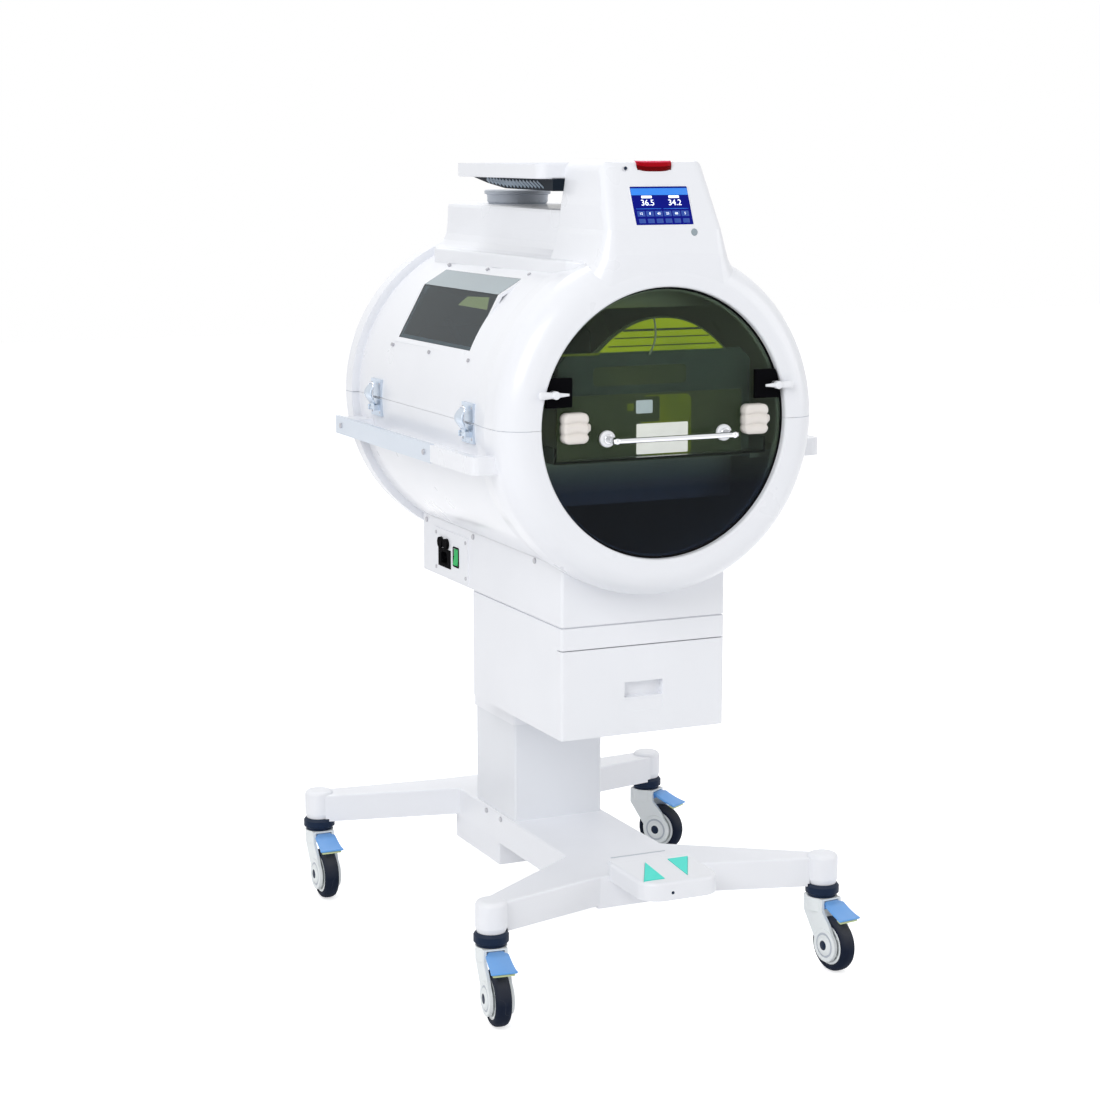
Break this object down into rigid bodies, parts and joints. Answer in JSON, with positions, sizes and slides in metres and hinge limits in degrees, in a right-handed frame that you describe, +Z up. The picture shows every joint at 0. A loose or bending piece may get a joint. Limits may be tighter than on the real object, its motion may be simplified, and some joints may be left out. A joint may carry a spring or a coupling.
{
  "type": "infant phototherapy unit",
  "caption": "Infant phototherapy unit: round smoked-door treatment drum with hinged canopy, slide-out bed and control head on a lifting column with drawer and braked casters.",
  "frame": {"origin": "on the floor, on the plane of symmetry, midway between the front and rear caster swivel axes", "axes": "+Z up, +X to the object's right seen from the front, the round door faces -Y"},
  "size_m": [0.8249, 0.9137, 1.4675],
  "materials": {
    "white_metal": "satin",
    "white_plastic": "gloss",
    "cap_white": "matte",
    "column_metal": "satin",
    "dark_slate": "matte",
    "fork_grey": "satin",
    "tyre": "matte",
    "brake_blue": "satin",
    "turquoise": "satin",
    "rail_metal": "brushed",
    "latch_steel": "satin",
    "screw_steel": "satin",
    "black_plastic": "matte",
    "switch_green": "gloss",
    "smoked": "gloss",
    "clear": "gloss",
    "screen": "gloss",
    "lamp_red": "gloss",
    "button_grey": "satin",
    "vent_grey": "matte",
    "cream": "matte",
    "chrome": "polished",
    "mattress": "matte",
    "lamp_metal": "satin"
  },
  "bodies": {
    "base": {"base_frame": "white_metal", "leg_end_caps": "cap_white", "caster_collars": "dark_slate", "drive_box": "white_metal", "foot_bolts": "screw_steel", "inner_column": "column_metal", "foot_switch_housing": "white_plastic"},
    "foot_key_up": {"foot_switch_up": "turquoise"},
    "foot_key_down": {"foot_switch_down": "turquoise"},
    "carriage": {"outer_column": "white_metal", "lower_housing": "white_metal", "drawer_cabinet": "white_metal", "lower_shell": "white_plastic", "power_panel": "white_metal", "power_inlet": "black_plastic", "body_screws": "screw_steel", "side_rails": "rail_metal", "rail_arms": "white_plastic", "latch_keepers": "latch_steel", "hinge_lower": "latch_steel", "lower_lamp_bank": "lamp_metal"},
    "rocker": {"rocker_switch": "switch_green"},
    "latch_front": {"latch_lever_front": "latch_steel"},
    "latch_rear": {"latch_lever_rear": "latch_steel"},
    "drawer": {"drawer": "white_metal"},
    "canopy": {"upper_shell": "white_plastic", "window_pane": "smoked", "control_head": "white_plastic", "display_screen": "screen", "alarm_lamp": "lamp_red", "top_housing": "white_plastic", "tray": "white_plastic", "vent_box": "vent_grey", "window_screws": "screw_steel", "latch_hooks": "latch_steel", "hinge_upper": "latch_steel", "upper_lamp_bank": "lamp_metal"},
    "mute": {"mute_button": "button_grey"},
    "bed": {"bed_frame": "clear", "mattress": "mattress", "bed_card": "cap_white", "door_glass": "smoked", "door_pads": "black_plastic", "door_handle": "chrome"},
    "knob_left": {"door_knob_left": "cream"},
    "knob_right": {"door_knob_right": "cream"},
    "swing_left": {"door_swing_left": "cap_white"},
    "swing_right": {"door_swing_right": "cap_white"},
    "fork_front_left": {"caster_fork_front_left": "fork_grey"},
    "wheel_front_left": {"caster_wheel_front_left": "tyre"},
    "brake_front_left": {"brake_pedal_front_left": "brake_blue"},
    "fork_front_right": {"caster_fork_front_right": "fork_grey"},
    "wheel_front_right": {"caster_wheel_front_right": "tyre"},
    "brake_front_right": {"brake_pedal_front_right": "brake_blue"},
    "fork_rear_left": {"caster_fork_rear_left": "fork_grey"},
    "wheel_rear_left": {"caster_wheel_rear_left": "tyre"},
    "brake_rear_left": {"brake_pedal_rear_left": "brake_blue"},
    "fork_rear_right": {"caster_fork_rear_right": "fork_grey"},
    "wheel_rear_right": {"caster_wheel_rear_right": "tyre"},
    "brake_rear_right": {"brake_pedal_rear_right": "brake_blue"}
  },
  "joints": [
    {"name": "column_lift", "type": "slide", "parent": "base", "child": "carriage", "axis": [0, 0, 1], "range_m": [-0.07, 0.13]},
    {"name": "foot_key_up_press", "type": "slide", "parent": "base", "child": "foot_key_up", "axis": [0, 0, -1], "range_m": [0, 0.002], "stiffness_N_per_m": 1200},
    {"name": "foot_key_down_press", "type": "slide", "parent": "base", "child": "foot_key_down", "axis": [0, 0, -1], "range_m": [0, 0.002], "stiffness_N_per_m": 1200},
    {"name": "swivel_front_left", "type": "hinge", "parent": "base", "child": "fork_front_left", "pos_m": [-0.331, -0.396, 0.12], "axis": [0, 0, 1], "continuous": true},
    {"name": "roll_front_left", "type": "hinge", "parent": "fork_front_left", "child": "wheel_front_left", "pos_m": [-0.33589, -0.43368, 0.05], "axis": [0.9917, -0.1288, 0], "continuous": true},
    {"name": "brake_press_front_left", "type": "hinge", "parent": "fork_front_left", "child": "brake_front_left", "pos_m": [-0.3337, -0.41683, 0.117], "axis": [0.9917, -0.1288, 0], "range_deg": [-6, 4]},
    {"name": "swivel_front_right", "type": "hinge", "parent": "base", "child": "fork_front_right", "pos_m": [0.331, -0.396, 0.12], "axis": [0, 0, 1], "continuous": true},
    {"name": "roll_front_right", "type": "hinge", "parent": "fork_front_right", "child": "wheel_front_right", "pos_m": [0.33524, -0.43376, 0.05], "axis": [0.9938, 0.1115, 0], "continuous": true},
    {"name": "brake_press_front_right", "type": "hinge", "parent": "fork_front_right", "child": "brake_front_right", "pos_m": [0.33334, -0.41687, 0.117], "axis": [0.9938, 0.1115, 0], "range_deg": [-6, 4]},
    {"name": "swivel_rear_left", "type": "hinge", "parent": "base", "child": "fork_rear_left", "pos_m": [-0.3695, 0.396, 0.12], "axis": [0, 0, 1], "continuous": true},
    {"name": "roll_rear_left", "type": "hinge", "parent": "fork_rear_left", "child": "wheel_rear_left", "pos_m": [-0.37056, 0.35802, 0.05], "axis": [0.9996, -0.0279, 0], "continuous": true},
    {"name": "brake_press_rear_left", "type": "hinge", "parent": "fork_rear_left", "child": "brake_rear_left", "pos_m": [-0.37009, 0.37501, 0.117], "axis": [0.9996, -0.0279, 0], "range_deg": [-6, 4]},
    {"name": "swivel_rear_right", "type": "hinge", "parent": "base", "child": "fork_rear_right", "pos_m": [0.3695, 0.396, 0.12], "axis": [0, 0, 1], "continuous": true},
    {"name": "roll_rear_right", "type": "hinge", "parent": "fork_rear_right", "child": "wheel_rear_right", "pos_m": [0.38913, 0.36346, 0.05], "axis": [0.8563, 0.5165, 0], "continuous": true},
    {"name": "brake_press_rear_right", "type": "hinge", "parent": "fork_rear_right", "child": "brake_rear_right", "pos_m": [0.38035, 0.37802, 0.117], "axis": [0.8563, 0.5165, 0], "range_deg": [-6, 4]},
    {"name": "drawer_slide", "type": "slide", "parent": "carriage", "child": "drawer", "axis": [0, -1, 0], "range_m": [0, 0.28]},
    {"name": "canopy_hinge", "type": "hinge", "parent": "carriage", "child": "canopy", "pos_m": [0.313, 0, 1.019], "axis": [0, 1, 0], "range_deg": [0, 60]},
    {"name": "latch_front_swing", "type": "hinge", "parent": "carriage", "child": "latch_front", "pos_m": [-0.3074, -0.232, 1], "axis": [0, -1, 0], "range_deg": [0, 90]},
    {"name": "latch_rear_swing", "type": "hinge", "parent": "carriage", "child": "latch_rear", "pos_m": [-0.3044, 0.228, 1], "axis": [0, -1, 0], "range_deg": [0, 90]},
    {"name": "rocker_tilt", "type": "hinge", "parent": "carriage", "child": "rocker", "pos_m": [-0.162, 0.1564, 0.7105], "axis": [0, 1, 0], "range_deg": [-10, 0]},
    {"name": "bed_slide", "type": "slide", "parent": "carriage", "child": "bed", "axis": [0, -1, 0], "range_m": [0, 0.42]},
    {"name": "knob_left_turn", "type": "hinge", "parent": "bed", "child": "knob_left", "pos_m": [-0.1738, -0.39, 1.0205], "axis": [0, 1, 0], "range_deg": [0, 90]},
    {"name": "knob_right_turn", "type": "hinge", "parent": "bed", "child": "knob_right", "pos_m": [0.1738, -0.39, 1.0205], "axis": [0, 1, 0], "range_deg": [0, 90]},
    {"name": "swing_left_turn", "type": "hinge", "parent": "bed", "child": "swing_left", "pos_m": [-0.214, -0.405, 1.079], "axis": [0, 1, 0], "range_deg": [0, 90]},
    {"name": "swing_right_turn", "type": "hinge", "parent": "bed", "child": "swing_right", "pos_m": [0.214, -0.405, 1.079], "axis": [0, -1, 0], "range_deg": [0, 90]},
    {"name": "mute_press", "type": "slide", "parent": "canopy", "child": "mute", "axis": [0, 1, 0], "range_m": [0, 0.0015], "stiffness_N_per_m": 600}
  ]
}
